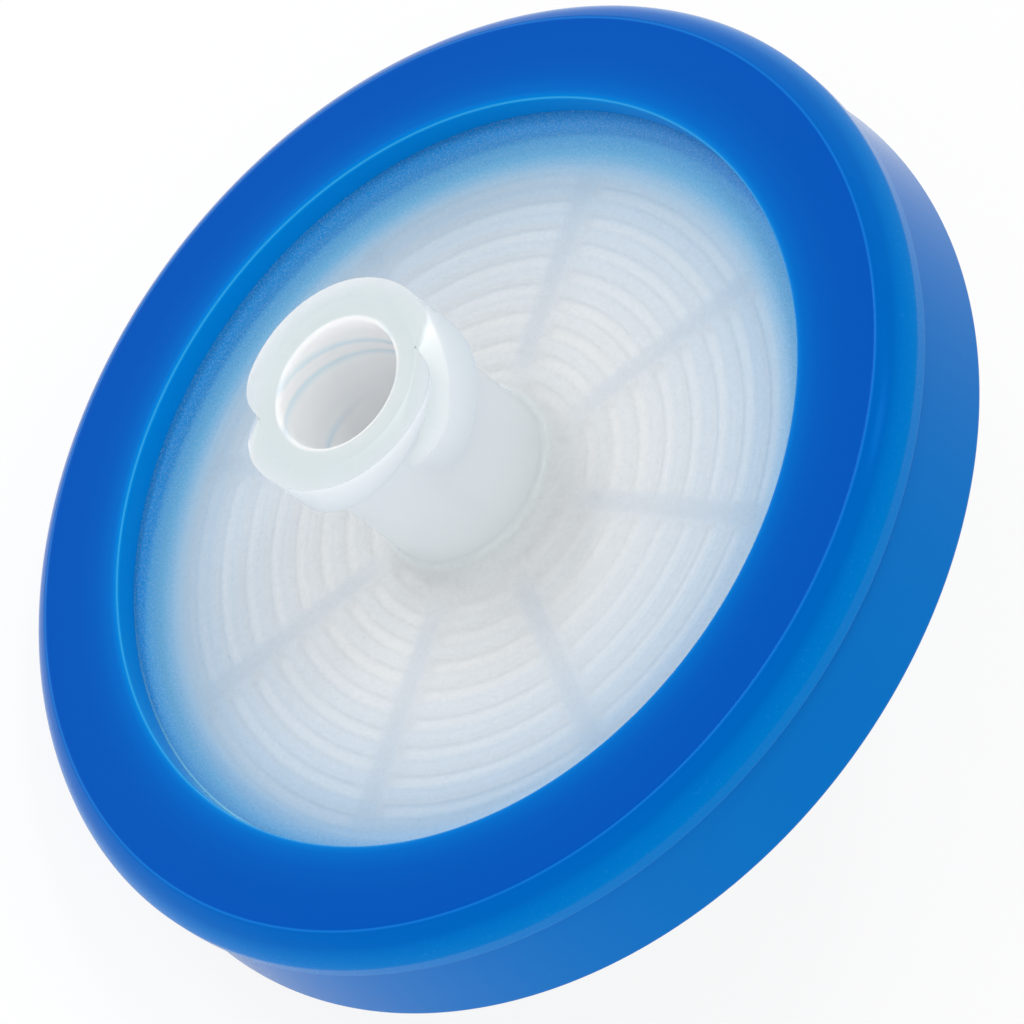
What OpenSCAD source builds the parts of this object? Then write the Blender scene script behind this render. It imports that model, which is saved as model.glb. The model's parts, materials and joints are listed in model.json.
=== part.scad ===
// Syringe filter with a female luer-lock inlet and a male luer-slip outlet.
//
// A filter membrane is clamped between two natural polypropylene housings, and a blue collar
// is moulded over their flanges. Each sub-part is drawn about the filter's own axis, with z = 0
// on the collar's front face and the inlet towards +z. lying() then leans the filter over, as it
// comes to rest on a bench: on the collar's back rim and on the tip of the outlet.

/* [Collar] */
// Outer diameter of the collar's flange
collar_d = 33; // [32.6:0.1:35]
// Height of the collar, from front face to back face
collar_h = 4.8; // [4.4:0.1:6]
// Diameter of the window that shows the housing
window_d = 25.5; // [25.4:0.1:26]
// Outer diameter of the flat front face
face_d = 31.2; // [30.4:0.1:31.8]
// Drop of the bevel from the front face to the flange's edge
bevel_h = 0.97; // [0.6:0.01:1.1]
// Angle that the rounded bevel turns through
bevel_turn = 44; // [20:1:60]
// Height of the flange's edge below the bevel
flange_edge_h = 0.45; // [0.2:0.05:0.6]
// Diameter of the waist behind the flange
waist_d = 32.4; // [31.6:0.1:32.5]
// Outer diameter of the wall where it meets the back face
back_d = 32.9; // [32.5:0.1:33]

/* [Housings] */
// Depth of the inlet disc below the collar's front face
recess = 0.9; // [0.6:0.1:1.2]
// Thickness of the inlet disc
inlet_disc_t = 0.8; // [0.6:0.1:1]
// Thickness of the outlet disc
outlet_disc_t = 1; // [0.8:0.1:1.2]
// Outer diameter of the flanges that the collar grips
flange_d = 29.2; // [28:0.1:30]
// Thickness of each housing's flange
flange_t = 0.65; // [0.5:0.05:0.7]
// Diameter of the open filter area
flow_d = 23.6; // [23.4:0.1:23.8]

/* [Membrane] */
// Diameter of the membrane
membrane_d = 24.8; // [24.2:0.1:25]
// Thickness of the membrane
membrane_t = 0.15; // [0.1:0.01:0.2]

/* [Support ribs] */
// Number of sectors, an even number so that staggered sectors alternate
sectors = 8; // [4:2:12]
// Diameter of the outermost ribs, at their middle
outer_rib_d = 22.7; // [21:0.1:22.7]
// Radial distance from one rib to the next
rib_pitch = 0.97; // [0.9:0.01:1.1]
// Width of a rib
rib_w = 0.55; // [0.3:0.05:0.6]
// Height of a rib above its disc
rib_h = 0.3; // [0.2:0.05:0.4]
// Number of ribs in each sector
rib_count = 9; // [4:1:9]
// Width of the radial channels between sectors
channel_w = 0.9; // [0.6:0.1:1.2]

/* [Luer inlet] */
// Height of the inlet above its disc
inlet_h = 6.9; // [6.4:0.1:9]
// Outer diameter of the inlet and of the outlet's root
hub_d = 5.94; // [5.6:0.02:6.4]
// Diameter of the inlet's mouth
mouth_d = 4.3; // [4.27:0.01:4.32]
// Depth of the luer socket
socket_l = 7.3; // [6.8:0.1:7.6]
// Diameter of the hole between the socket and the membrane
inlet_hole_d = 2; // [1:0.1:2.4]

/* [Luer-lock lugs] */
// Diameter across the lugs
lug_d = 7.2; // [7:0.1:7.8]
// Rise of a lug's helix in one turn
lug_lead = 5.7; // [5:0.1:8]
// Width of a lug at its crest
lug_crest_w = 2.2; // [1:0.1:2.4]
// Width of the crest at a lug's lower end
lug_end_w = 1.2; // [0.8:0.1:2]
// Slope of a lug's flanks, as the widening of one flank from crest to root
lug_flank_w = 0.35; // [0.1:0.05:0.6]
// Angle that a lug turns through
lug_turn = 242; // [160:2:260]
// Depth of a lug's lower end below the inlet's rim
lug_depth = 2.5; // [2:0.1:3]

/* [Luer outlet] */
// Height of the outlet's root behind its disc
outlet_root_h = 3.6; // [2:0.1:5]
// Diameter of the outlet's tip
tip_d = 3.96; // [3.92:0.01:4.02]
// Length of the luer cone
cone_l = 7.5; // [7:0.1:9]
// Diameter of the passage through the outlet
passage_d = 2.1; // [1:0.1:2.4]

/* [Hidden] */
$fn = 96;

// A luer cone changes by 6 mm in diameter over 100 mm of length
luer_taper = 0.06;
// Straight stretch at the mouth of the socket and at the tip of the cone
luer_land = 0.8;
// Small rounding of moulded edges, and the number of steps in a rounded corner
edge_r = 0.15;
corner_steps = 6;
bevel_steps = 10;
// Length by which a cutter reaches past the face that it cuts
past = 1;

// Drop from the membrane's front to the front of the inlet's flange
flange_drop = 0.4;
// Levels along the axis, from the front face to the back
inlet_disc_z = -recess;
inlet_floor_z = inlet_disc_z - inlet_disc_t;
membrane_front_z = inlet_floor_z - rib_h;
membrane_back_z = membrane_front_z - membrane_t;
outlet_floor_z = membrane_back_z - rib_h;
outlet_disc_z = outlet_floor_z - outlet_disc_t;
flange_front_z = membrane_front_z - flange_drop;
split_z = flange_front_z - flange_t;
flange_back_z = split_z - flange_t;
rim_z = inlet_disc_z + inlet_h;
cone_root_z = outlet_disc_z - outlet_root_h;
tip_z = cone_root_z - cone_l;

// Gap between the inlet's skirt and the membrane's edge
skirt_gap = 0.05;
skirt_d = membrane_d + 2 * skirt_gap;

// Angle of the first lug's lower end
lug_start = -58;
// Angle over which each end of a lug runs out into the hub
lug_run_out = 34;
// Angle over which a lug then widens from its lower end
lug_widening = 44;
// How far a lug's root reaches into the hub's wall
lug_root = 0.4;
// How far a lug's ends sink below the hub's surface
lug_sink = 0.1;
// Largest angle between two sections of a lug
lug_step = 5.5;

// The filter lies on two circles, the back rim and the tip's end
rest_rim_r = back_d / 2 - edge_r;
rest_tip_r = tip_d / 2 - edge_r;
lean = atan((-collar_h - tip_z) / (rest_rim_r - rest_tip_r));
// Height of the collar's front centre above the bench, and its offset from the middle
lift = rest_rim_r * sin(lean) + collar_h * cos(lean);
reach_low = collar_d / 2 * cos(lean) - bevel_h * sin(lean);
reach_high = back_d / 2 * cos(lean) + (collar_h - edge_r) * sin(lean);
shift = (reach_low - reach_high) / 2;

// Points on a circular arc, in the plane of a profile
function arc(centre, r, from, to, steps) =
    [for (i = [0:steps])
        let (a = from + (to - from) * i / steps)
        [centre[0] + r * cos(a), centre[1] + r * sin(a)]];

// The bevel: an arc from the face's edge to the flange's edge that turns by bevel_turn
function bevel_points() =
    let (
        run = (collar_d - face_d) / 2,
        chord = sqrt(run * run + bevel_h * bevel_h),
        r = chord / 2 / sin(bevel_turn / 2),
        slope = atan2(bevel_h, run),
        start = 90 - (slope - bevel_turn / 2),
        centre = [face_d / 2 - r * cos(start), -r * sin(start)]
    )
    arc(centre, r, start, start - bevel_turn, bevel_steps);

// Turns the filter from its own axis to the way it lies on a bench
module lying() {
    translate([shift, 0, lift]) rotate([0, -lean, 0]) children();
}

// Concentric support ribs, staggered by half a pitch from one sector to the next
module ribs(base_z) {
    sector = 360 / sectors;
    difference() {
        for (s = [0:sectors - 1]) {
            stagger = s % 2 == 0 ? 0 : rib_pitch / 2;
            rotate([0, 0, (s + 0.5) * sector])
                rotate_extrude(angle = sector)
                    for (k = [0:rib_count - 1])
                        translate([outer_rib_d / 2 - rib_w / 2 - stagger - k * rib_pitch, base_z])
                            square([rib_w, rib_h]);
        }
        for (s = [0:sectors - 1])
            rotate([0, 0, (s + 0.5) * sector])
                translate([0, -channel_w / 2, base_z - past])
                    cube([flow_d / 2 + past, channel_w, rib_h + 2 * past]);
    }
}

// One luer-lock lug: a trapezoid swept up a helix, with its ends run out into the hub
module lug() {
    count = floor(lug_turn / lug_step);
    crest_r = lug_d / 2;
    hub_r = hub_d / 2;
    root_r = hub_r - lug_root;
    end_r = hub_r - lug_sink;
    spread = lug_flank_w * (crest_r - root_r) / (crest_r - hub_r);
    function share(a) = max(0, min(1, a));
    function rise(a) = share(min(a, lug_turn - a) / lug_run_out);
    function crest(a) = end_r + (crest_r - end_r) * sin(90 * rise(a));
    function width(a) =
        lug_end_w + (lug_crest_w - lug_end_w) * share((a - lug_run_out) / lug_widening);
    function section(a) =
        let (z = lug_lead * a / 360, half = width(a) / 2)
        [[root_r, z - half - spread], [crest(a), z - half],
         [crest(a), z + half], [root_r, z + half + spread]];
    points = [for (i = [0:count])
        let (a = lug_turn * i / count)
        for (p = section(a)) [p[0] * cos(a), p[0] * sin(a), p[1]]];
    sides = [for (i = [0:count - 1], j = [0:3])
        let (a = 4 * i + j, b = 4 * i + (j + 1) % 4)
        each [[a, b, a + 4], [b, b + 4, a + 4]]];
    last = 4 * count;
    ends = [[0, 2, 1], [0, 3, 2], [last, last + 1, last + 2], [last, last + 2, last + 3]];
    polyhedron(points, concat(sides, ends));
}

// The pair of lugs, cut flush with the inlet's rim
module lugs() {
    intersection() {
        for (half = [0, 180])
            rotate([0, 0, lug_start + half]) translate([0, 0, rim_z - lug_depth]) lug();
        translate([0, 0, inlet_disc_z]) cylinder(d = lug_d + 2 * past, h = inlet_h);
    }
}

module collar() {
    back_r = back_d / 2;
    color("#0058ba") lying() rotate_extrude()
        polygon(concat(
            [[window_d / 2, 0]],
            bevel_points(),
            [[collar_d / 2, -bevel_h - flange_edge_h],
             [waist_d / 2, -bevel_h - flange_edge_h - edge_r]],
            arc([back_r - edge_r, -collar_h + edge_r], edge_r, 0, -90, corner_steps),
            [[window_d / 2, -collar_h],
             [window_d / 2, flange_back_z],
             [flange_d / 2, flange_back_z],
             [flange_d / 2, flange_front_z],
             [window_d / 2, flange_front_z]]
        ));
}

module inlet_housing() {
    color("#dde6ea", 0.7) lying() difference() {
        union() {
            rotate_extrude()
                polygon([
                    [0, inlet_disc_z],
                    [window_d / 2, inlet_disc_z],
                    [window_d / 2, flange_front_z],
                    [flange_d / 2, flange_front_z],
                    [flange_d / 2, split_z],
                    [skirt_d / 2, split_z],
                    [skirt_d / 2, membrane_front_z],
                    [flow_d / 2, membrane_front_z],
                    [flow_d / 2, inlet_floor_z],
                    [0, inlet_floor_z]
                ]);
            ribs(inlet_floor_z - rib_h);
            translate([0, 0, inlet_disc_z]) cylinder(d = hub_d, h = inlet_h);
            lugs();
        }
        luer_socket();
    }
}

// The space inside the inlet: a chamfered mouth, a straight land, the luer cone and the hole
// to the membrane
module luer_socket() {
    land_z = rim_z - edge_r - luer_land;
    cone_z = rim_z - socket_l;
    cone_h = land_z - cone_z;
    translate([0, 0, rim_z - edge_r])
        cylinder(d1 = mouth_d, d2 = mouth_d + 2 * edge_r + 2 * past, h = edge_r + past);
    translate([0, 0, land_z]) cylinder(d = mouth_d, h = luer_land);
    translate([0, 0, cone_z])
        cylinder(d1 = mouth_d - luer_taper * cone_h, d2 = mouth_d, h = cone_h);
    translate([0, 0, inlet_floor_z - past])
        cylinder(d = inlet_hole_d, h = cone_z - inlet_floor_z + past);
}

module membrane() {
    color("white") lying()
        translate([0, 0, membrane_back_z]) cylinder(d = membrane_d, h = membrane_t);
}

module outlet_housing() {
    tip_r = tip_d / 2;
    cone_root_r = tip_r + luer_taper / 2 * (cone_l - luer_land);
    color("#dde6ea", 0.7) lying() difference() {
        union() {
            rotate_extrude()
                polygon([
                    [0, outlet_floor_z],
                    [flow_d / 2, outlet_floor_z],
                    [flow_d / 2, membrane_back_z],
                    [skirt_d / 2, membrane_back_z],
                    [skirt_d / 2, split_z],
                    [flange_d / 2, split_z],
                    [flange_d / 2, flange_back_z],
                    [window_d / 2, flange_back_z],
                    [window_d / 2, outlet_disc_z],
                    [hub_d / 2, outlet_disc_z],
                    [hub_d / 2, cone_root_z],
                    [cone_root_r, cone_root_z],
                    [tip_r, tip_z + luer_land],
                    [tip_r, tip_z + edge_r],
                    [tip_r - edge_r, tip_z],
                    [0, tip_z]
                ]);
            ribs(outlet_floor_z);
        }
        translate([0, 0, tip_z - past])
            cylinder(d = passage_d, h = outlet_floor_z + rib_h - tip_z + 2 * past);
    }
}

collar();
inlet_housing();
membrane();
outlet_housing();
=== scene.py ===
"""Dresses a packed syringe filter and lights it in a plain studio.

The filter is four mouldings and sheets about one axis: a blue collar, two natural polypropylene
housings and the membrane between them. Each is drawn here in millimetres in the filter's own frame,
with z = 0 on the collar's front face and the inlet towards +z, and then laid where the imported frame
has it, leaning on its rim and on its outlet's tip.
"""

import json
import logging
import math
from dataclasses import dataclass
from enum import Enum

import bpy
from mathutils import Matrix, Vector


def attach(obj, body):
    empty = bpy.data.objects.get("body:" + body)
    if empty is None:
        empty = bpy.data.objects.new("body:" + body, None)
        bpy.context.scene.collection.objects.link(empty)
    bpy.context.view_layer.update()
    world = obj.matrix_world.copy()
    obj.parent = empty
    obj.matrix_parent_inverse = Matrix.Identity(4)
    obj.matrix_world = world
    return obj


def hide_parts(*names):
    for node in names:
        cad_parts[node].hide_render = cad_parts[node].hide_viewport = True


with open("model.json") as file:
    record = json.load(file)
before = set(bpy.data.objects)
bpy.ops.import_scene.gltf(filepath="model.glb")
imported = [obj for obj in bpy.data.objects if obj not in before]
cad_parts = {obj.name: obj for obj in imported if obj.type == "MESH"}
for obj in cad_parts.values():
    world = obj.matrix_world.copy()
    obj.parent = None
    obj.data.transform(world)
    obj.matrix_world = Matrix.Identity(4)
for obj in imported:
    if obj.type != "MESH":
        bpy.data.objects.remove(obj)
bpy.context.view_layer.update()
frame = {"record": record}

LOG = logging.getLogger("syringe_filter")

# Metres in a millimetre.
MM = 0.001
# Steps round a full turn of a moulding.
FINE_TURN = 288
# Largest angle between two faces that still shade as one smooth surface.
SMOOTH_ANGLE = math.radians(32.0)
# Turn below which a corner counts as straight, in radians.
STRAIGHT = 1e-4
# Radius below which a point lies on the axis, in millimetres.
ON_AXIS = 1e-6
# Change of a luer cone's radius for each millimetre of its length.
LUER_SLOPE = 0.03
# Refraction of polypropylene.
PLASTIC_IOR = 1.49
# Depth of a moulded surface's finest relief, in metres.
FINE_RELIEF = 0.01 * MM

# Node types that come up often, and the settings that go with some of them.
MATH = "ShaderNodeMath"
MIX = "ShaderNodeMix"
XYZ = "ShaderNodeCombineXYZ"
PARTS = "ShaderNodeSeparateXYZ"
BUMP = "ShaderNodeBump"
TIMES = {"operation": "MULTIPLY"}
TIMES_PLUS = {"operation": "MULTIPLY_ADD"}
PLUS = {"operation": "ADD"}
MINUS = {"operation": "SUBTRACT"}
OVER = {"operation": "DIVIDE"}
SIZE_OF = {"operation": "ABSOLUTE"}
LEAST = {"operation": "MINIMUM"}
MOST = {"operation": "MAXIMUM"}
WHOLE = {"operation": "FLOOR"}
NEAREST = {"operation": "ROUND"}
REST_OF = {"operation": "FLOORED_MODULO"}

Socket = bpy.types.NodeSocket


class Slot(Enum):
    """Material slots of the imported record."""

    BLUE = "blue_polypropylene"
    NATURAL = "natural_polypropylene"
    MEMBRANE = "filter_membrane"


# ---- Nodes and colours ----


def linear(hex_code: str) -> tuple[float, float, float, float]:
    """Turns an sRGB hex colour into linear RGBA.

    Args:
        hex_code: Six hex digits with a leading hash.

    Returns:
        Red, green, blue and an alpha of 1.
    """
    parts = [int(hex_code[i : i + 2], 16) / 255.0 for i in (1, 3, 5)]
    bent = [c / 12.92 if c <= 0.04045 else ((c + 0.055) / 1.055) ** 2.4 for c in parts]
    return bent[0], bent[1], bent[2], 1.0


class Nodes:
    """A node tree, and the one way in which nodes are added to it."""

    def __init__(self, tree: bpy.types.NodeTree) -> None:
        """Takes the tree.

        Args:
            tree: The node tree.
        """
        self.tree = tree

    def feed(self, node: bpy.types.Node, inputs: dict[str | int, object]) -> None:
        """Links or sets a node's inputs.

        Args:
            node: The node.
            inputs: Sockets, lists of sockets, numbers, vectors or hex colours, by the input's name
                or place.
        """
        for key, value in inputs.items():
            for part in value if isinstance(value, list) else [value]:
                if isinstance(part, Socket):
                    self.tree.links.new(part, node.inputs[key])
                else:
                    plain = linear(part) if isinstance(part, str) else part
                    node.inputs[key].default_value = plain

    def add(
        self,
        kind: str,
        inputs: dict[str | int, object] | tuple[object, ...] = (),
        out: int | str = 0,
        **settings: object,
    ) -> Socket | None:
        """Adds a node, sets its properties and its inputs.

        Args:
            kind: The node's type name.
            inputs: Its inputs as feed takes them, or in the order of the node's own inputs.
            out: The output to give, by name or place.
            **settings: The node's properties.

        Returns:
            The output, or None where the node has none.
        """
        node = self.tree.nodes.new(kind)
        for name, value in settings.items():
            setattr(node, name, value)
        self.feed(node, inputs if isinstance(inputs, dict) else dict(enumerate(inputs)))
        return node.outputs[out] if node.outputs else None

    def product(self, *terms: Socket | float) -> Socket:
        """Multiplies values, such as masks that all have to let something through.

        Args:
            *terms: Two or more sockets or numbers.

        Returns:
            The product.
        """
        result = terms[0]
        for term in terms[1:]:
            result = self.add(MATH, (result, term), **TIMES)
        return result

    def radius_of(self, x: Socket, y: Socket) -> Socket:
        """Distance from the axis of a point at x and y."""
        squared = self.add(MATH, (self.product(x, x), self.product(y, y)), **PLUS)
        return self.add(MATH, (squared,), operation="SQRT")


# ---- The filter's own frame ----


@dataclass(frozen=True)
class FilterAxis:
    """The filter's own frame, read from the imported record's luer socket mount.

    Attributes:
        socket_level: Height of the mount's point above the collar's front face, in millimetres.
    """

    socket_level: float = 5.45

    def mount(self) -> dict:
        """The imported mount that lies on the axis."""
        mounts = frame["record"]["mounts"]
        return next(m for m in mounts if m["name"] == "inlet_luer_socket")

    def direction(self) -> Vector:
        """Unit vector along the axis, towards the inlet."""
        return Vector(self.mount()["axis"]).normalized()

    def face_centre(self) -> Vector:
        """Centre of the collar's front face, in metres."""
        return Vector(self.mount()["pos_m"]) - self.direction() * self.socket_level * MM

    def placing(self) -> Matrix:
        """Lays the filter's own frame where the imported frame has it.

        Returns:
            Matrix from the filter's own frame in millimetres to the row frame in metres.
        """
        axis = self.direction()
        lean_back = Matrix.Rotation(-math.atan2(-axis.x, axis.z), 4, "Y")
        return Matrix.Translation(self.face_centre()) @ lean_back @ Matrix.Scale(MM, 4)


@dataclass(frozen=True)
class Levels:
    """Heights along the axis that the pieces share, in millimetres above the front face.

    Attributes:
        collar_back: Back face of the collar.
        inlet_disc: Top of the inlet disc.
        inlet_floor: Underside of the inlet disc.
        membrane_front: Top of the membrane.
        membrane_back: Underside of the membrane.
        outlet_floor: Top of the outlet disc.
        outlet_disc: Back of the outlet disc.
        flange_front: Top of the inlet's flange.
        split: Where the two flanges meet.
        flange_back: Back of the outlet's flange.
        rim: End of the inlet.
        cone_root: Shoulder of the outlet's luer cone.
        tip: End of the outlet.
    """

    collar_back: float = -4.8
    inlet_disc: float = -0.9
    inlet_floor: float = -1.7
    membrane_front: float = -2.0
    membrane_back: float = -2.15
    outlet_floor: float = -2.45
    outlet_disc: float = -3.45
    flange_front: float = -2.4
    split: float = -3.05
    flange_back: float = -3.7
    rim: float = 6.0
    cone_root: float = -7.05
    tip: float = -14.55

    def film(self) -> float:
        """Height of the membrane's middle."""
        return (self.membrane_front + self.membrane_back) / 2.0


AXIS = FilterAxis()
LEVELS = Levels()


# ---- Outlines and turned shapes ----


@dataclass(frozen=True)
class Corner:
    """One corner of a turned outline.

    Attributes:
        r: Distance from the axis, in millimetres.
        z: Height along the axis, in millimetres.
        fillet: Radius of the rounding at the corner, in millimetres.
    """

    r: float
    z: float
    fillet: float = 0.0

    def point(self) -> Vector:
        """The corner as a flat vector."""
        return Vector((self.r, self.z))


def rounded_outline(corners: list[Corner], arc_step: float = 12.0) -> list[Vector]:
    """Rounds a closed outline's corners with true arcs.

    Args:
        corners: The outline's corners in order.
        arc_step: Largest turn of one step of an arc, in degrees.

    Returns:
        The outline's points in order.
    """
    points: list[Vector] = []
    for i, corner in enumerate(corners):
        here = corner.point()
        before = (corners[i - 1].point() - here).normalized()
        after = (corners[(i + 1) % len(corners)].point() - here).normalized()
        inner = before.angle(after)
        if corner.fillet <= 0.0 or math.pi - inner < STRAIGHT:
            points.append(here)
            continue
        centre = here + (before + after).normalized() * corner.fillet / math.sin(inner / 2.0)
        reach = corner.fillet / math.tan(inner / 2.0)
        first, last = here + before * reach - centre, here + after * reach - centre
        start = math.atan2(first.y, first.x)
        swing = math.atan2(first.cross(last), first.dot(last))
        steps = max(2, math.ceil(math.degrees(abs(swing)) / arc_step))
        for k in range(steps + 1):
            angle = start + swing * k / steps
            points.append(centre + corner.fillet * Vector((math.cos(angle), math.sin(angle))))
    return points


def held_flat(outline: list[Vector], margin: float = 0.02) -> list[Vector]:
    """Adds a point close to both ends of each straight run, so flat faces shade flat.

    Args:
        outline: A closed outline's points in order.
        margin: Distance of an added point from its corner, in millimetres.

    Returns:
        The outline with the added points.
    """
    shortest_run = 8.0 * margin
    points: list[Vector] = []
    for i, here in enumerate(outline):
        ahead = outline[(i + 1) % len(outline)]
        length = (ahead - here).length
        points.append(here)
        if length > shortest_run:
            points.append(here.lerp(ahead, margin / length))
            points.append(ahead.lerp(here, margin / length))
    return points


def turned_mesh(name: str, outline: list[Vector], steps: int = FINE_TURN) -> bpy.types.Mesh:
    """Turns a closed outline round the axis into a closed mesh.

    Args:
        name: The mesh's name.
        outline: Points of radius and height, counter-clockwise; one at radius 0 becomes a pole.
        steps: Number of steps in the full turn.

    Returns:
        The mesh, in millimetres, with faces outwards.
    """
    verts: list[tuple[float, float, float]] = []
    rings: list[list[int]] = []
    for point in outline:
        count = 1 if point.x < ON_AXIS else steps
        rings.append([len(verts) + (k if count > 1 else 0) for k in range(steps)])
        for k in range(count):
            angle = 2.0 * math.pi * k / steps
            verts.append((point.x * math.cos(angle), point.x * math.sin(angle), point.y))
    faces: list[tuple[int, ...]] = []
    for i, ring in enumerate(rings):
        ahead = rings[(i + 1) % len(rings)]
        for k in range(steps):
            following = (k + 1) % steps
            loop = (ring[k], ring[following], ahead[following], ahead[k])
            face = tuple(dict.fromkeys(loop))
            if len(face) > 2:
                faces.append(face)
    mesh = bpy.data.meshes.new(name)
    mesh.from_pydata(verts, [], faces)
    mesh.validate()
    return mesh


# ---- Geometry Nodes ----


class ShapeTree(Nodes):
    """A Geometry Nodes tree with named inputs, and the means to run it to a plain mesh."""

    def __init__(self, name: str, sizes: dict[str, float | int]) -> None:
        """Makes the tree, its sockets and its start.

        Args:
            name: The tree's name.
            sizes: Named inputs with their values; whole numbers become integer sockets.
        """
        super().__init__(bpy.data.node_groups.new(name, "GeometryNodeTree"))
        self.sizes = sizes
        sockets = self.tree.interface
        sockets.new_socket("Geometry", in_out="INPUT", socket_type="NodeSocketGeometry")
        for label, value in sizes.items():
            kind = "NodeSocketInt" if isinstance(value, int) else "NodeSocketFloat"
            sockets.new_socket(label, in_out="INPUT", socket_type=kind)
        sockets.new_socket("Material", in_out="INPUT", socket_type="NodeSocketMaterial")
        sockets.new_socket("Geometry", in_out="OUTPUT", socket_type="NodeSocketGeometry")
        self.inputs = self.tree.nodes.new("NodeGroupInput").outputs

    def raised(self, geometry: Socket, height: Socket) -> Socket:
        """Lifts a shape along the axis by a height."""
        lift = self.add(XYZ, {"Z": height})
        return self.add("GeometryNodeTransform", {"Geometry": geometry, "Translation": lift})

    def swept(self, curve: Socket, section: Socket) -> Socket:
        """Sweeps a section upright along a curve into a closed mesh."""
        upright = self.add("GeometryNodeSetCurveNormal", {"Curve": curve}, mode="Z_UP")
        return self.add(
            "GeometryNodeCurveToMesh",
            {"Curve": upright, "Profile Curve": section, "Fill Caps": True},
        )

    def close(self, geometry: Socket) -> None:
        """Ends the tree in real geometry with its material.

        Args:
            geometry: The finished shape.
        """
        real = self.add("GeometryNodeRealizeInstances", {"Geometry": geometry})
        dressed = self.add(
            "GeometryNodeSetMaterial", {"Geometry": real, "Material": self.inputs["Material"]}
        )
        self.add("NodeGroupOutput", {"Geometry": dressed})

    def run(self, mesh: bpy.types.Mesh, material: bpy.types.Material) -> bpy.types.Mesh:
        """Runs the tree over a mesh.

        Args:
            mesh: The shape that goes in.
            material: The material that the tree sets.

        Returns:
            The result as a plain mesh.
        """
        carrier = bpy.data.objects.new(self.tree.name, mesh)
        bpy.context.scene.collection.objects.link(carrier)
        modifier = carrier.modifiers.new("shape", "NODES")
        modifier.node_group = self.tree
        values = dict(self.sizes) | {"Material": material}
        for item in self.tree.interface.items_tree:
            if item.in_out == "INPUT" and item.name in values:
                modifier[item.identifier] = values[item.name]
        graph = bpy.context.evaluated_depsgraph_get()
        result = bpy.data.meshes.new_from_object(carrier.evaluated_get(graph))
        carrier.modifiers.remove(modifier)
        bpy.data.objects.remove(carrier)
        return result


@dataclass(frozen=True)
class SupportRibs:
    """Concentric ribs that carry the membrane, staggered from one sector to the next.

    Attributes:
        sectors: Number of sectors.
        per_sector: Ribs in one sector.
        outer_radius: Middle of the outermost rib, in millimetres.
        pitch: Radial distance between ribs, in millimetres.
        stagger: Inset of every other sector's ribs, as a share of the pitch.
        width: Width of a rib, in millimetres.
        height: Height of a rib above its disc, in millimetres.
        channel: Width of the radial channels, in millimetres.
        root: Depth that a rib reaches into its disc, in millimetres.
        steps: Points along one arc.
    """

    sectors: int = 8
    per_sector: int = 9
    outer_radius: float = 11.35
    pitch: float = 0.97
    stagger: float = 0.5
    width: float = 0.55
    height: float = 0.3
    channel: float = 0.9
    root: float = 0.1
    steps: int = 40

    def sizes(self, middle: float) -> dict[str, float | int]:
        """Named sizes for a tree.

        Args:
            middle: Height of the ribs' middle along the axis, in millimetres.

        Returns:
            Values by input name.
        """
        return {
            "Sectors": self.sectors,
            "Ribs per sector": self.per_sector,
            "Outer rib radius": self.outer_radius,
            "Rib pitch": self.pitch,
            "Rib width": self.width,
            "Rib depth": self.height + self.root,
            "Channel width": self.channel,
            "Rib level": middle,
        }

    def draw(self, shape: ShapeTree) -> Socket:
        """Draws the ribs in a tree that has this class's inputs.

        Args:
            shape: The tree.

        Returns:
            The ribs as closed meshes.
        """
        sizes = shape.inputs
        sweep = shape.add(MATH, (2.0 * math.pi, sizes["Sectors"]), **OVER)
        arcs = self.arcs(shape, sweep)
        length = shape.add("GeometryNodeSplineLength", out="Length")
        arc_radius = shape.add(MATH, (length, sweep), **OVER)
        half_channel = shape.add(MATH, (sizes["Channel width"], 2.0), **OVER)
        half_angle = shape.add(
            MATH, (shape.add(MATH, (half_channel, arc_radius), **OVER),), operation="ARCSINE"
        )
        cut = shape.add(MATH, (half_angle, sweep), **OVER)
        trimmed = shape.add(
            "GeometryNodeTrimCurve",
            {"Curve": arcs, "Start": cut, "End": shape.add(MATH, (1.0, cut), **MINUS)},
            mode="FACTOR",
        )
        section = shape.add(
            "GeometryNodeCurvePrimitiveQuadrilateral",
            {"Width": sizes["Rib width"], "Height": sizes["Rib depth"]},
            mode="RECTANGLE",
        )
        return shape.raised(shape.swept(trimmed, section), sizes["Rib level"])

    def arcs(self, shape: ShapeTree, sweep: Socket) -> Socket:
        """Lays out the ribs' middle lines, one arc for each rib of each sector.

        Args:
            shape: The tree.
            sweep: Angle of one sector, in radians.

        Returns:
            The arcs as real curves.
        """
        sizes = shape.inputs
        index = shape.add("GeometryNodeInputIndex")
        per_sector = sizes["Ribs per sector"]
        sector = shape.add(MATH, (shape.add(MATH, (index, per_sector), **OVER),), **WHOLE)
        order = shape.add(MATH, (index, per_sector), **REST_OF)
        odd = shape.add(MATH, (sector, 2.0), **REST_OF)
        steps_in = shape.add(MATH, (odd, self.stagger, order), **TIMES_PLUS)
        inset = shape.product(steps_in, sizes["Rib pitch"])
        radius = shape.add(MATH, (sizes["Outer rib radius"], inset), **MINUS)
        turn = shape.product(shape.add(MATH, (sector, 0.5), **PLUS), sweep)
        count = shape.product(sizes["Sectors"], per_sector)
        arc = shape.add(
            "GeometryNodeCurveArc",
            {"Resolution": self.steps, "Radius": 1.0, "Start Angle": 0.0, "Sweep Angle": sweep},
            mode="RADIUS",
        )
        placed = shape.add(
            "GeometryNodeInstanceOnPoints",
            {
                "Points": shape.add("GeometryNodePoints", {"Count": count}),
                "Instance": arc,
                "Rotation": shape.add(XYZ, {"Z": turn}),
                "Scale": shape.add(XYZ, {"X": radius, "Y": radius, "Z": 1.0}),
            },
        )
        return shape.add("GeometryNodeRealizeInstances", {"Geometry": placed})


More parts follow.
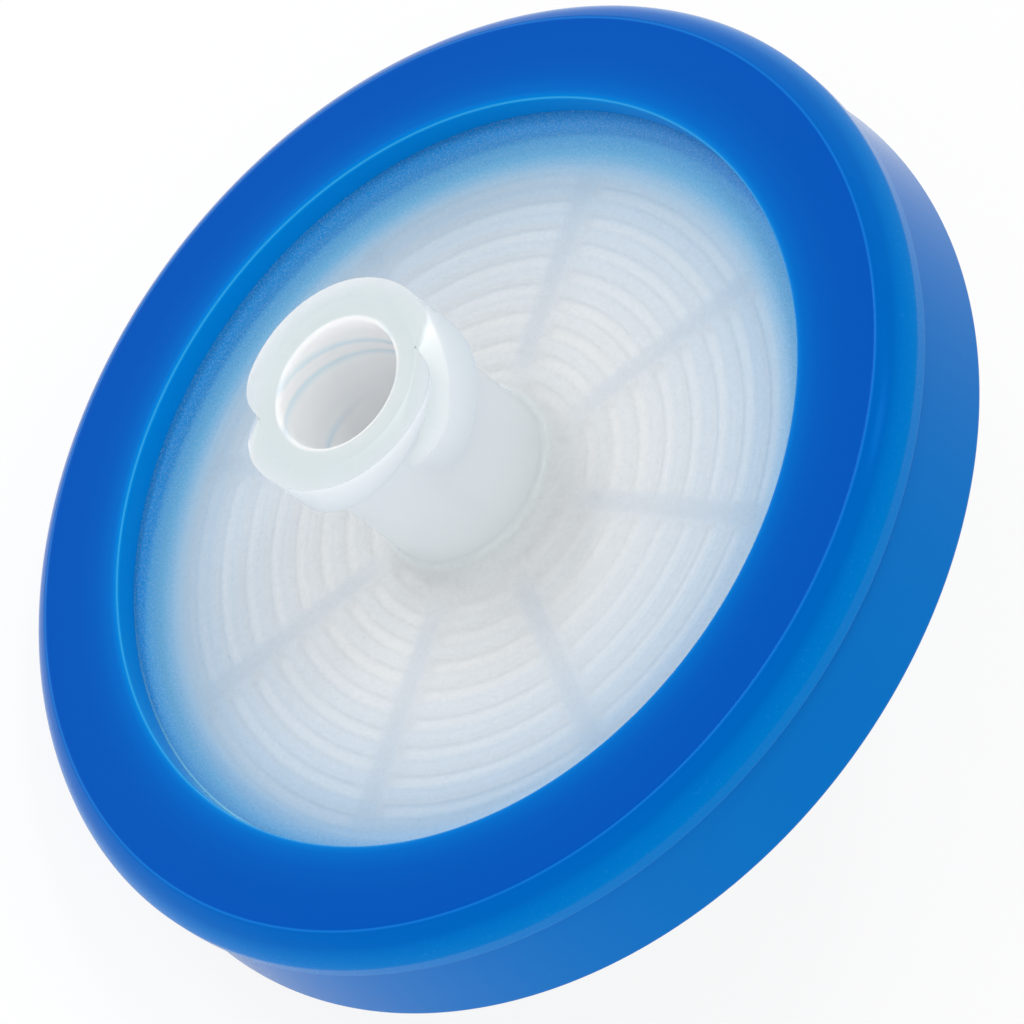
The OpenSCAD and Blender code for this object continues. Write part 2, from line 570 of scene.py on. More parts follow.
@dataclass(frozen=True)
class LockLugs:
    """The inlet's two helical lugs, for a syringe's lock collar.

    Attributes:
        radius: Crest of a lug, in millimetres from the axis.
        hub_radius: The hub that the lugs stand on, in millimetres.
        inner_radius: How far a lug reaches into the hub's wall, in millimetres from the axis.
        lead: Rise of the helix in one turn, in millimetres.
        crest_width: Width of a lug at its crest, in millimetres.
        end_width: Width of the crest at a lug's lower end, in millimetres.
        flank_width: Widening of one flank from crest to root, in millimetres.
        turn: Angle that one lug turns through, in degrees.
        start: Angle of the first lug's lower end, in degrees.
        start_drop: Depth of the lower end's middle below the rim, in millimetres.
        ramp: Angle over which each end runs out, in degrees.
        widening: Angle over which a lug then widens from its lower end, in degrees.
        sink: How far the ends sink below the hub's surface, in millimetres.
        rim_gap: How far below the rim the lugs are cut level, in millimetres.
        soft_edge: Rounding of the crest's edges, in millimetres.
        soft_steps: Points in that rounding.
        steps: Points along one turn of the helix.
        cutter_reach: Radius of the block that cuts the lugs level, in crest radii.
        cutter_steps: Sides of that block.
    """

    radius: float = 3.6
    hub_radius: float = 2.97
    inner_radius: float = 2.57
    lead: float = 5.7
    crest_width: float = 2.2
    end_width: float = 1.2
    flank_width: float = 0.35
    turn: float = 242.0
    start: float = -58.0
    start_drop: float = 2.5
    ramp: float = 34.0
    widening: float = 44.0
    sink: float = 0.1
    rim_gap: float = 0.003
    soft_edge: float = 0.12
    soft_steps: int = 3
    steps: int = 120
    cutter_reach: float = 1.5
    cutter_steps: int = 48

    def sizes(self, rim: float) -> dict[str, float | int]:
        """Named sizes for a tree.

        Args:
            rim: Height of the inlet's rim along the axis, in millimetres.

        Returns:
            Values by input name.
        """
        return {
            "Lug turns": self.turn / 360.0,
            "Lug rise": self.lead * self.turn / 360.0,
            "Lug start": math.radians(self.start),
            "Lug level": rim - self.start_drop,
            "Lug crest radius": self.radius,
            "Lug root radius": self.hub_radius,
            "Lug ramp": self.ramp / self.turn,
            "Lug widening": self.widening / self.turn,
            "Lug narrowing": (self.crest_width - self.end_width) / 2.0,
        }

    def section(self, shape: ShapeTree) -> Socket:
        """Draws the lug's section, out from the hub's surface and up from the lug's middle.

        Args:
            shape: The tree.

        Returns:
            The section as a closed curve with its edges softened.
        """
        spread = (self.radius - self.inner_radius) / (self.radius - self.hub_radius)
        crest = self.crest_width / 2.0
        root = crest + self.flank_width * spread
        inner, outer = self.inner_radius - self.hub_radius, self.radius - self.hub_radius
        corners = [(inner, -root), (outer, -crest), (outer, crest), (inner, root)]
        points = {f"Point {i + 1}": (r, z, 0.0) for i, (r, z) in enumerate(corners)}
        sharp = shape.add("GeometryNodeCurvePrimitiveQuadrilateral", points, mode="POINTS")
        return shape.add(
            "GeometryNodeFilletCurve",
            {"Curve": sharp, "Count": self.soft_steps, "Radius": self.soft_edge},
            mode="POLY",
        )

    def draw(self, shape: ShapeTree) -> Socket:
        """Draws the pair of lugs, cut flush with the rim, in a tree with this class's inputs.

        Args:
            shape: The tree.

        Returns:
            The lugs as closed meshes.
        """
        sizes = shape.inputs
        spiral = shape.add(
            "GeometryNodeCurveSpiral",
            {
                "Resolution": self.steps,
                "Rotations": sizes["Lug turns"],
                "Start Radius": sizes["Lug root radius"],
                "End Radius": sizes["Lug root radius"],
                "Height": sizes["Lug rise"],
                "Reverse": True,
            },
        )
        marked = shape.add("GeometryNodeCaptureAttribute", out="Geometry", domain="POINT").node
        marked.capture_items.new("FLOAT", "Along")
        along = shape.add("GeometryNodeSplineParameter", out="Factor")
        shape.feed(marked, {"Geometry": spiral, "Along": along})
        lug = shape.swept(marked.outputs["Geometry"], self.section(shape))
        index = shape.add("GeometryNodeInputIndex")
        half_turn = shape.add(MATH, (index, math.pi, sizes["Lug start"]), **TIMES_PLUS)
        pair = shape.add(
            "GeometryNodeInstanceOnPoints",
            {
                "Points": shape.add("GeometryNodePoints", {"Count": 2}),
                "Instance": self.run_out(shape, lug, marked.outputs["Along"]),
                "Rotation": shape.add(XYZ, {"Z": half_turn}),
            },
        )
        placed = shape.raised(pair, sizes["Lug level"])
        real = shape.add("GeometryNodeRealizeInstances", {"Geometry": placed})
        block_height = 2.0 * self.start_drop
        block = shape.add(
            "GeometryNodeMeshCylinder",
            {
                "Vertices": self.cutter_steps,
                "Radius": shape.product(sizes["Lug crest radius"], self.cutter_reach),
                "Depth": block_height,
            },
            out="Mesh",
        )
        middle = self.start_drop - self.rim_gap - block_height / 2.0
        below_rim = shape.raised(block, shape.add(MATH, (sizes["Lug level"], middle), **PLUS))
        return shape.add(
            "GeometryNodeMeshBoolean",
            {"Mesh 2": [real, below_rim]},
            out="Mesh",
            operation="INTERSECT",
            solver="MANIFOLD",
        )

    def run_out(self, shape: ShapeTree, lug: Socket, along: Socket) -> Socket:
        """Runs both ends of a swept lug out into the hub and narrows its lower end.

        Args:
            shape: The tree.
            lug: The lug as it is swept.
            along: How far along the lug a point is, from 0 to 1.

        Returns:
            The finished lug.
        """
        sizes = shape.inputs
        ramp = sizes["Lug ramp"]
        x, y, z = shape.add(PARTS, (shape.add("GeometryNodeInputPosition"),)).node.outputs
        radius = shape.radius_of(x, y)
        to_end = shape.add(MATH, (along, shape.add(MATH, (1.0, along), **MINUS)), **LEAST)
        share = shape.add(MATH, (shape.add(MATH, (to_end, ramp), **OVER), 1.0), **LEAST)
        eased = shape.add(MATH, (shape.product(share, math.pi / 2.0),), operation="SINE")
        end = shape.add(MATH, (sizes["Lug root radius"], self.sink), **MINUS)
        rise = shape.add(MATH, (sizes["Lug crest radius"], end), **MINUS)
        limit = shape.add(MATH, (eased, rise, end), **TIMES_PLUS)
        held = shape.add(MATH, (radius, limit), **LEAST)
        shrink = shape.add(MATH, (held, radius), **OVER)
        past_ramp = shape.add(MATH, (along, ramp), **MINUS)
        widened = shape.add(MATH, (past_ramp, sizes["Lug widening"]), **OVER)
        kept = shape.add(MATH, (shape.add(MATH, (1.0, widened), **MINUS), 0.0), **MOST)
        kept = shape.add(MATH, (kept, 1.0), **LEAST)
        narrowing = shape.product(kept, sizes["Lug narrowing"])
        middle = shape.product(along, sizes["Lug rise"])
        side = shape.add(MATH, (shape.add(MATH, (z, middle), **MINUS),), operation="SIGN")
        lowered = shape.add(MATH, (z, shape.product(side, narrowing)), **MINUS)
        moved = shape.add(
            XYZ, {"X": shape.product(x, shrink), "Y": shape.product(y, shrink), "Z": lowered}
        )
        return shape.add("GeometryNodeSetPosition", {"Geometry": lug, "Position": moved})


def joined_tree(name: str, details: dict[SupportRibs | LockLugs, float]) -> ShapeTree:
    """Makes the tree that joins a turned housing and its details into one moulding.

    Args:
        name: The tree's name.
        details: The ribs and lugs that the housing carries, each with the height that it is
            drawn from.

    Returns:
        The finished tree.
    """
    sizes: dict[str, float | int] = {}
    for detail, height in details.items():
        sizes |= detail.sizes(height)
    shape = ShapeTree(name, sizes)
    solids = [shape.inputs["Geometry"]] + [detail.draw(shape) for detail in details]
    joined = shape.add(
        "GeometryNodeMeshBoolean",
        {"Mesh 2": solids},
        out="Mesh",
        operation="UNION",
        solver="MANIFOLD",
    )
    shape.close(joined)
    return shape


# ---- Finishes ----


@dataclass(frozen=True)
class Fade:
    """A smooth passage from one value to another along a measure.

    Attributes:
        start: Where the passage starts.
        end: Where it ends.
        before: The value up to its start.
        after: The value from its end.
    """

    start: float
    end: float
    before: float = 0.0
    after: float = 1.0

    def over(self, nodes: Nodes, measure: Socket) -> Socket:
        """Lays the passage along a measure."""
        ends = (measure, self.start, self.end, self.before, self.after)
        return nodes.add("ShaderNodeMapRange", ends, interpolation_type="SMOOTHSTEP")


@dataclass(frozen=True)
class Shades:
    """Colours along a measure.

    Attributes:
        stops: Places in rising order, in millimetres, each with its sRGB hex colour.
    """

    stops: tuple[tuple[float, str], ...]

    def over(self, nodes: Nodes, measure: Socket) -> Socket:
        """Lays the colours along a measure.

        Args:
            nodes: The material's nodes.
            measure: The measure, in millimetres.

        Returns:
            The colour.
        """
        low, high = self.stops[0][0], self.stops[-1][0]
        share = nodes.add("ShaderNodeMapRange", (measure, low, high))
        colour = nodes.add("ShaderNodeValToRGB", (share,))
        elements = colour.node.color_ramp.elements
        for at, _ in self.stops[1:-1]:
            elements.new((at - low) / (high - low))
        for element, (_, code) in zip(elements, self.stops):
            element.color = linear(code)
        return colour


@dataclass(frozen=True)
class Grain:
    """Even noise with features of one size.

    Attributes:
        size: Size of the features, in millimetres.
        octaves: Number of finer octaves.
    """

    size: float
    octaves: float = 1.0

    def over(self, nodes: Nodes, place: Socket) -> Socket:
        """Lays the noise, from 0 to 1, over a place in the filter's own frame."""
        inputs = {"Vector": place, "Scale": 1.0 / self.size, "Detail": self.octaves}
        return nodes.add("ShaderNodeTexNoise", inputs, "Fac")


class Surface(Nodes):
    """A named material with one Principled shader, laid out in the filter's own frame.

    Attributes:
        material: The material.
        place: The place in the filter's own frame, in millimetres, from Object coordinates.
        radius: Distance from the axis, in millimetres.
        height: Height along the axis, in millimetres.
        angle: Angle round the axis, in radians.
    """

    def __init__(self, label: str) -> None:
        """Makes the material and its measures.

        Args:
            label: The material's name.
        """
        self.material = bpy.data.materials.new(label)
        self.material.use_nodes = True
        super().__init__(self.material.node_tree)
        location, turn, scale = AXIS.placing().inverted().decompose()
        mapping = {
            "Vector": self.add("ShaderNodeTexCoord", out="Object"),
            "Location": location,
            "Rotation": turn.to_euler(),
            "Scale": scale,
        }
        self.place = self.add("ShaderNodeMapping", mapping, vector_type="POINT")
        x, y, self.height = self.add(PARTS, (self.place,)).node.outputs
        self.radius = self.radius_of(x, y)
        self.angle = self.add(MATH, (y, x), operation="ARCTAN2")

    def layered(
        self, base: object, *layers: tuple[Socket, object], colour: bool = False
    ) -> Socket:
        """Lays values or colours over one another, each through its mask.

        Args:
            base: What lies below: a socket, a number or a hex colour.
            *layers: Masks from 0 to 1, each with what it lets through.
            colour: Whether they are colours.

        Returns:
            The result.
        """
        kind, low, high, out = ("RGBA", 6, 7, 2) if colour else ("FLOAT", 2, 3, 0)
        for mask, over in layers:
            base = self.add(MIX, {0: mask, low: base, high: over}, out, data_type=kind)
        return base

    def off_whole(self, value: Socket) -> Socket:
        """Distance of a value from the nearest whole number."""
        off = self.add(MATH, (value, self.add(MATH, (value,), **NEAREST)), **MINUS)
        return self.add(MATH, (off,), **SIZE_OF)

    def finish(self, inputs: dict[str, object]) -> bpy.types.Material:
        """Feeds the shader.

        Args:
            inputs: The shader's inputs by name, as feed takes them.

        Returns:
            The finished material.
        """
        self.feed(self.tree.nodes["Principled BSDF"], inputs)
        return self.material


@dataclass(frozen=True)
class BluePolypropylene:
    """Blue polypropylene, injection moulded: deep on the flat face; its lighter thin parts are
    painted glow.

    Attributes:
        label: The material's name.
        face: Colour across the front, from the window's wall to the flange's edge, with painted glow
            on the
        wall, beside the window and on the thin bevel, and painted highlight lines at the window's
        edge and crease.
        rear: Colour of the thin band behind the flange.
        rear_height: Heights at which that band lies, in millimetres.
        rear_radius: Where it starts, in millimetres from the axis.
        texture: The tool's fine texture.
        relief: Strength of its relief.
        points: Strength of the bright points at the texture's peaks.
        points_radius: Where they show, on the flange's edge, in millimetres from the axis.
        spark: Colour of the points.
        clouds: Faint flow clouds in the body.
        gloss: Roughness from cloud to cloud.
        spark_gloss: How much rougher a point is.
        sheen: Strength of the plastic's reflection.
        sheen_tint: Colour of that reflection.
    """

    label: str = "Blue polypropylene, moulded"
    # Painted light: glow on and beside the window's wall, highlight lines at the window's edge
    # (12.775-12.795) and at the crease (15.59-15.61), and a lighter thin bevel.
    face: Shades = Shades(
        (
            (12.765, "#008cde"), (12.775, "#369fdd"), (12.795, "#369fdd"), (12.82, "#007ecf"),
            (12.88, "#0070c4"), (13.05, "#0062ba"), (13.6, "#0056b1"), (14.4, "#0050ad"),
            (15.55, "#004fad"), (15.59, "#116ec6"), (15.61, "#116ec6"), (15.65, "#005eb5"),
            (16.05, "#0061b7"), (16.2, "#006bbe"), (16.5, "#0077c8"),
        )
    )
    rear: str = "#006fc2"
    rear_height: Fade = Fade(-1.5, -1.35, 1.0, 0.0)
    rear_radius: Fade = Fade(15.0, 15.2)
    texture: Grain = Grain(0.09, 2.0)
    relief: float = 0.06
    points: Fade = Fade(0.58, 0.72, 0.0, 0.5)
    points_radius: Fade = Fade(16.0, 16.45)
    spark: str = "#1a82cf"
    clouds: Grain = Grain(5.0)
    gloss: Fade = Fade(0.3, 0.7, 0.13, 0.19)
    spark_gloss: float = 0.3
    sheen: float = 0.12
    sheen_tint: str = "#0a8ce6"

    def build(self) -> bpy.types.Material:
        """Makes the material.

        Returns:
            The finished material.
        """
        surface = Surface(self.label)
        behind = self.rear_height.over(surface, surface.height)
        band = surface.product(behind, self.rear_radius.over(surface, surface.radius))
        fine = self.texture.over(surface, surface.place)
        sparkle = surface.product(
            self.points.over(surface, fine),
            self.points_radius.over(surface, surface.radius),
            surface.add(MATH, (1.0, behind), **MINUS),
        )
        face = self.face.over(surface, surface.radius)
        colour = surface.layered(face, (band, self.rear), (sparkle, self.spark), colour=True)
        rough = self.gloss.over(surface, self.clouds.over(surface, surface.place))
        relief = {"Height": fine, "Strength": self.relief, "Distance": FINE_RELIEF}
        return surface.finish(
            {
                "Base Color": colour,
                "Roughness": surface.add(MATH, (sparkle, self.spark_gloss, rough), **TIMES_PLUS),
                "Normal": surface.add(BUMP, relief),
                "IOR": PLASTIC_IOR,
                "Specular IOR Level": self.sheen,
                "Specular Tint": self.sheen_tint,
            }
        )


@dataclass(frozen=True)
class NaturalPolypropylene:
    """Unpigmented polypropylene, moulded: milky where it is thick, clear in the thin disc.

    A share says how much of what lies behind it a face hides. A radius is measured from the axis
    and a height along it, and all lengths are in millimetres.

    Attributes:
        label: The material's name.
        ribs: The support ribs, which the colours follow.
        lugs: The inlet's lugs, whose light and shade are painted in the bore as if seen through its
            wall.
        disc: Colour of the disc's skin, from the middle out to the collar, whose blue is painted into
            its edge as glow.
        skin: Heights over which the inner faces give way to the disc's skin.
        skin_share: Share of the skin over the flow area.
        edge_share: Share of the disc's solid edge.
        edge_start: Where the skin turns to that share, from the centre of the painted glow.
        wall_share: Share of the skin close to the collar's wall.
        wall_radius: Where the skin turns to that share.
        glow_side: Side on which the collar's lit wall is painted furthest into the disc as glow, in
            degrees.
        glow_reach: How much further in the painted glow reaches there.
        glow_radius: Where the painted glow and its points set in, from the glow's centre.
        speck: Colour of the satin skin's fine points, which show against the painted glow.
        specks: The points themselves.
        speck_strength: How strongly they show, from the noise's middle to its peaks.
        painted_edge_glint: Colour of the painted highlight along the disc's outer edge.
        glint_radius: Where that line lies.
        glint_side: Where it fades, from the centre of the painted glow.
        floor: Colour of the inner faces, from the gaps between ribs out to the collar's wall: painted
            shade in the
        gaps, and the collar's blue painted in as glow towards the wall.
        floor_share: Share of the inner faces between the ribs.
        seat_share: Share of the inner faces outside the flow area.
        seat_start: Radii over which they turn to that share.
        contact: Colour of the ribs' ends, which press on the membrane and so look bright; their blue
            at the outer ribs is painted glow.
        contact_share: Share of the ribs' ends.
        contact_depth: How far from the film a rib's end still presses on it.
        contact_width: How far from a rib's middle.
        contact_radius: How far out.
        flank: How far from the film the ribs' clear flanks start and end.
        channel: Painted shade in the straight channels between the sectors of ribs.
        channel_width: How far from a channel's middle its colour reaches.
        channel_radius: Where channels start and end.
        hub: Colour of the thick luer fittings.
        hub_share: Share of the luer fittings.
        hub_radius: Radii within which the plastic counts as thick.
        hub_height: Heights from which it does.
        rim: Colour of the inlet's flat end, painted darker than the sides to even out the light that
            falls on it.
        rim_depth: Depths below the inlet's rim over which that colour comes in.
        bore: Colour in the inlet's bore, by distance from the middle of the lug behind its wall:
            painted white
        over the bore's shade, with a painted shadow line from the lug.
        bore_radius: Where the bore's wall ends.
        lugs_height: Where the lugs' painted streaks start in the bore.
        hidden_radius: Where the disc's outer wall stands, which is left clear.
        hidden_height: Heights below which it is.
        satin: The skin's satin texture.
        satin_gloss: Roughness across the texture.
        satin_relief: Strength of the texture's relief.
        hub_gloss: Roughness of the luer fittings.
        glow: Share of light that scatters inside the luer fittings.
        glow_depth: How far it scatters.
    """

    label: str = "Natural polypropylene, moulded"
    ribs: SupportRibs = SupportRibs()
    lugs: LockLugs = LockLugs()
    # The blue towards the disc's edge is painted glow from the collar's lit wall.
    disc: Shades = Shades(
        (
            (3.0, "#f8f8f8"), (6.5, "#f0f3f5"), (9.5, "#d9e7f3"), (11.05, "#bcd8ee"),
            (11.35, "#a4cae6"), (11.65, "#80b4d9"), (11.95, "#60aad6"), (12.2, "#52a2d3"),
            (12.55, "#419ad1"), (12.74, "#1786c9"),
        )
    )
    skin: Fade = Fade(-1.5, -1.1)
    skin_share: float = 0.55
    edge_share: float = 0.8
    edge_start: tuple[float, float] = (10.9, 11.8)
    wall_share: float = 0.92
    wall_radius: Fade = Fade(11.85, 12.5)
    glow_side: float = 112.0
    glow_reach: float = 1.0
    glow_radius: Fade = Fade(11.0, 11.7)
    speck: str = "#cfe6f4"
    specks: Grain = Grain(0.06)
    speck_strength: Fade = Fade(0.45, 0.7, 0.0, 0.18)
    # Painted highlight: a light teal line along the disc's outer edge.
    painted_edge_glint: str = "#8edcee"
    glint_radius: Fade = Fade(12.66, 12.7, 0.0, 0.9)
    glint_side: Fade = Fade(12.2, 13.2, 1.0, 0.0)
    # Painted shade in the gaps between ribs, and the collar's blue painted in as glow towards its
    # wall.
    floor: Shades = Shades(
        (
            (3.0, "#d7dde3"), (6.5, "#d0d8e1"), (9.5, "#bfd1e2"), (11.0, "#a6c6e2"),
            (11.4, "#8fc2e6"), (11.8, "#58aae2"), (12.7, "#3a96de"),
        )
    )
    floor_share: float = 0.5
    seat_share: float = 0.9
    seat_start: tuple[float, float] = (11.65, 11.8)
    # The blue towards the outer ribs is painted glow from the collar.
    contact: Shades = Shades(
        ((6.0, "#f8f8f8"), (10.2, "#f2f6f9"), (11.2, "#e6f0f8"), (11.6, "#c6def2"))
    )
    contact_share: float = 0.8
    contact_depth: Fade = Fade(0.09, 0.14, 1.0, 0.0)
    contact_width: Fade = Fade(0.08, 0.3, 1.0, 0.0)
    contact_radius: Fade = Fade(11.65, 11.75, 1.0, 0.0)
    flank: tuple[Fade, Fade] = (Fade(0.092, 0.1), Fade(0.35, 0.365, 1.0, 0.0))
    # Painted shade: the channels between the sectors are darker bluish grey.
    channel: str = "#86a6c4"
    channel_width: Fade = Fade(0.2, 0.5, 1.0, 0.0)
    channel_radius: tuple[Fade, Fade] = (Fade(3.5, 5.0), Fade(11.0, 11.4, 1.0, 0.0))
    hub: str = "#ecfafa"
    hub_share: float = 0.95
    hub_radius: Fade = Fade(2.9, 3.3, 1.0, 0.0)
    hub_height: Fade = Fade(-0.85, -0.6)
    # Painted shade: the lamp-lit end is painted darker than the fitting's sides.
    rim: str = "#c6d0d2"
    rim_depth: tuple[float, float] = (0.12, 0.02)
    # Painted light: the bore is lifted to white over its shade, with a painted bluish shadow line
    # from the lugs behind the wall.
    bore: Shades = Shades(
        (
            (0.0, "#ffffff"), (0.8, "#fafeff"), (1.1, "#d2e4f0"), (1.27, "#ffffff"),
            (1.425, "#ffffff"),
        )
    )
    bore_radius: Fade = Fade(2.2, 2.35)
    lugs_height: Fade = Fade(2.4, 3.4)
    hidden_radius: Fade = Fade(12.69, 12.73)
    hidden_height: Fade = Fade(-1.05, -1.0, 1.0, 0.0)
    satin: Grain = Grain(0.2)
    satin_gloss: Fade = Fade(0.3, 0.7, 0.25, 0.33)
    satin_relief: float = 0.03
    hub_gloss: float = 0.28
    glow: float = 0.9
    glow_depth: float = 3.0

    def build(self) -> bpy.types.Material:
        """Makes the material.

        Returns:
            The finished material.
        """
        surface = Surface(self.label)
        radius, height = surface.radius, surface.height
        # Distance from the centre of the collar's painted glow.
        glow_distance = self.from_glow(surface)
        skin = self.skin.over(surface, height)
        deep = self.hub_radius.over(surface, radius)
        thick = surface.add(MATH, (deep, self.hub_height.over(surface, height)), **MOST)
        off_film = surface.add(MATH, (height, LEVELS.film()), **MINUS)
        from_film = surface.add(MATH, (off_film,), **SIZE_OF)
        touching = surface.product(
            self.contact_depth.over(surface, from_film),
            self.contact_radius.over(surface, radius),
            self.contact_width.over(surface, self.from_rib(surface)),
        )
        # Painted light and shade go into these colours: shade in the gaps and channels, the collar's
        # glow, the rim's shade and the lugs' streaks in the bore.
        colour = surface.layered(
            self.floor.over(surface, radius),
            (self.channels(surface), self.channel),
            (skin, self.cover(surface, glow_distance)),
            (touching, self.contact.over(surface, radius)),
            (thick, self.fitting(surface)),
            colour=True,
        )
        edge = Fade(*self.edge_start, self.skin_share, self.edge_share).over(surface, glow_distance)
        seat = Fade(*self.seat_start, self.floor_share, self.seat_share).over(surface, radius)
        wall = (self.wall_radius.over(surface, radius), self.wall_share)
        hidden = self.hidden_radius.over(surface, radius)
        share = surface.layered(
            seat,
            (skin, surface.layered(edge, wall)),
            (touching, self.contact_share),
            (surface.product(*(part.over(surface, from_film) for part in self.flank)), 0.0),
            (thick, self.hub_share),
            (surface.product(hidden, self.hidden_height.over(surface, height)), 0.0),
        )
        fine = self.satin.over(surface, surface.place)
        satin = self.satin_gloss.over(surface, fine)
        strength = surface.layered(self.satin_relief, (thick, 0.0))
        relief = {"Height": fine, "Strength": strength, "Distance": FINE_RELIEF}
        return surface.finish(
            {
                "Base Color": colour,
                "Alpha": share,
                "Roughness": surface.layered(satin, (thick, self.hub_gloss)),
                "Normal": surface.add(BUMP, relief),
                "IOR": PLASTIC_IOR,
                "Subsurface Weight": surface.product(thick, self.glow),
                "Subsurface Radius": (1.0, 1.0, 1.0),
                "Subsurface Scale": self.glow_depth * MM,
            }
        )

    def from_glow(self, surface: Surface) -> Socket:
        """Distance from the centre of the painted glow, which lies aside of the axis.

        Args:
            surface: The material's nodes.

        Returns:
            The distance, in millimetres.
        """
        side = math.radians(self.glow_side)
        reach = (self.glow_reach * math.cos(side), self.glow_reach * math.sin(side), 0.0)
        moved = surface.add("ShaderNodeVectorMath", (surface.place, reach), operation="ADD")
        x, y, _ = surface.add(PARTS, (moved,)).node.outputs
        return surface.radius_of(x, y)

    def cover(self, surface: Surface, glow_distance: Socket) -> Socket:
        """Colour of the disc's skin, with the collar's painted glow, its fine points and the painted
        highlight at its edge.

        Args:
            surface: The material's nodes.
            glow_distance: Distance from the centre of the painted glow, in millimetres.

        Returns:
            The colour.
        """
        specks = self.speck_strength.over(surface, self.specks.over(surface, surface.place))
        grains = surface.product(specks, self.glow_radius.over(surface, glow_distance))
        line = self.glint_radius.over(surface, surface.radius)
        glint = surface.product(line, self.glint_side.over(surface, glow_distance))
        base = self.disc.over(surface, glow_distance)
        return surface.layered(base, (grains, self.speck), (glint, self.painted_edge_glint), colour=True)

    def sectors(self, surface: Surface) -> Socket:
        """Angle round the axis from the first sector's middle, in sectors of ribs."""
        per_radian = self.ribs.sectors / (2.0 * math.pi)
        return surface.add(MATH, (surface.angle, per_radian, -0.5), **TIMES_PLUS)

    def from_rib(self, surface: Surface) -> Socket:
        """Distance from the middle of the nearest support rib.

        Args:
            surface: The material's nodes.

        Returns:
            The distance, in millimetres.
        """
        sector = surface.add(MATH, (self.sectors(surface),), **WHOLE)
        odd = surface.add(MATH, (sector, 2.0), **REST_OF)
        inset = surface.add(MATH, (self.ribs.outer_radius, surface.radius), **MINUS)
        pitches = surface.add(MATH, (inset, self.ribs.pitch), **OVER)
        order = surface.add(MATH, (odd, -self.ribs.stagger, pitches), **TIMES_PLUS)
        return surface.product(surface.off_whole(order), self.ribs.pitch)

    def channels(self, surface: Surface) -> Socket:
        """Mask of the straight channels that run out between the sectors of ribs, where painted shade
        lies.

        Args:
            surface: The material's nodes.

        Returns:
            One in a channel's middle, zero among the ribs.
        """
        sector = 2.0 * math.pi / self.ribs.sectors
        off_middle = surface.off_whole(self.sectors(surface))
        aside = surface.product(off_middle, sector, surface.radius)
        ends = [part.over(surface, surface.radius) for part in self.channel_radius]
        return surface.product(self.channel_width.over(surface, aside), *ends)

    def fitting(self, surface: Surface) -> Socket:
        """Colour of the thick fittings, with painted shade on the rim and the lugs' light and shade
        painted in the bore.

        Args:
            surface: The material's nodes.

        Returns:
            The colour.
        """
        lugs, height = self.lugs, surface.height
        half_turn = lugs.lead / 2.0
        start_level = LEVELS.rim - lugs.start_drop - lugs.lead * lugs.start / 360.0
        rise = -lugs.lead / (2.0 * math.pi)
        helix = surface.add(MATH, (surface.angle, rise, height), **TIMES_PLUS)
        past = surface.add(MATH, (helix, half_turn / 2.0 - start_level), **PLUS)
        place = surface.add(MATH, (past, half_turn), **REST_OF)
        aside = surface.add(MATH, (place, half_turn / 2.0), **MINUS)
        streaks = self.bore.over(surface, surface.add(MATH, (aside,), **SIZE_OF))
        lugs_end = self.lugs_height.over(surface, height)
        inside = surface.layered(self.bore.stops[0][1], (lugs_end, streaks), colour=True)
        deep, shallow = self.rim_depth
        at_rim = Fade(LEVELS.rim - deep, LEVELS.rim - shallow).over(surface, height)
        skin = surface.layered(self.hub, (at_rim, self.rim), colour=True)
        outside = self.bore_radius.over(surface, surface.radius)
        return surface.layered(inside, (outside, skin), colour=True)


@dataclass(frozen=True)
class MembraneFilm:
    """Microporous filter film, cast and dried: matt white with a faint fibrous mottling.

    Attributes:
        label: The material's name.
        paper: Colour of the film.
        shade: Colour of its faint mottling.
        fibres: The mottling.
        mottling: Strength of the mottling's colour.
        relief: Strength of its relief.
        depth: Depth of that relief, in millimetres.
        gloss: Roughness of the film.
        sheen: Strength of its reflection.
    """

    label: str = "Cast microporous film"
    paper: str = "#e6e8ea"
    shade: str = "#dbdfe3"
    fibres: Grain = Grain(0.35, 4.0)
    mottling: Fade = Fade(0.35, 0.65)
    relief: float = 0.2
    depth: float = 0.02
    gloss: float = 0.85
    sheen: float = 0.3

    def build(self) -> bpy.types.Material:
        """Makes the material.

        Returns:
            The finished material.
        """
        surface = Surface(self.label)
        mottle = self.fibres.over(surface, surface.place)
        share = self.mottling.over(surface, mottle)
        relief = {"Height": mottle, "Strength": self.relief, "Distance": self.depth * MM}
        return surface.finish(
            {
                "Base Color": surface.layered(self.paper, (share, self.shade), colour=True),
                "Normal": surface.add(BUMP, relief),
                "Roughness": self.gloss,
                "Specular IOR Level": self.sheen,
            }
        )


# ---- The filter's pieces ----


def finish_piece(
    name: str, mesh: bpy.types.Mesh, material: bpy.types.Material, node: str
) -> bpy.types.Object:
    """Lays a finished mesh where the frame has it and hands it to the frame.

    Args:
        name: The piece's name.
        mesh: Its mesh in the filter's own frame, in millimetres.
        material: Its material.
        node: The CAD node that it stands for.

    Returns:
        The piece.
    """
    mesh.transform(AXIS.placing())
    mesh.shade_smooth()
    mesh.set_sharp_from_angle(angle=SMOOTH_ANGLE)
    mesh.materials.clear()
    mesh.materials.append(material)
    piece = bpy.data.objects.new(name, mesh)
    bpy.context.scene.collection.objects.link(piece)
    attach(piece, "root")
    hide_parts(node)
    LOG.info("%s: %d faces", name, len(mesh.polygons))
    return piece


